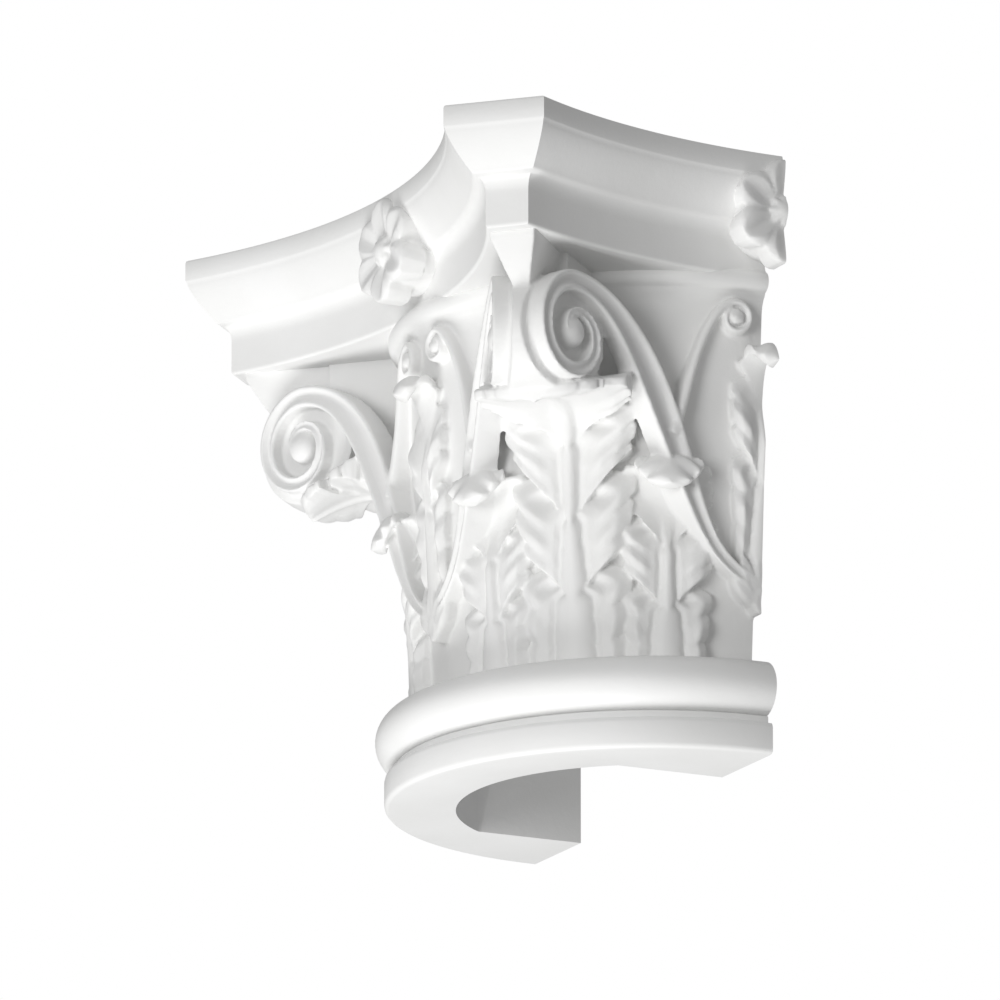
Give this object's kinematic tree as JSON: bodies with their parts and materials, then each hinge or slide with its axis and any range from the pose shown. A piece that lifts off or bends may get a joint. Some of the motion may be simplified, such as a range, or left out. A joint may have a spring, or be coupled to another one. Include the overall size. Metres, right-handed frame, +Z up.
{
  "type": "half-column capital",
  "caption": "Moulded half-column capital with acanthus leaves, corner volutes and a hollow-sided abacus, flat and open at the back for a wall.",
  "frame": {"origin": "middle of the box in plan, on the plane of the ring's underside; the wall plane is at y = 0.090 and the column's axis lies on it at x = 0", "axes": "+X along the wall, +Y into the wall, +Z up towards the abacus; the carved front faces -Y"},
  "size_m": [0.36, 0.18, 0.288],
  "materials": {
    "primed_white": "satin white primer on moulded foam"
  },
  "bodies": {
    "root": {"half_column_capital": "primed_white"}
  },
  "joints": []
}
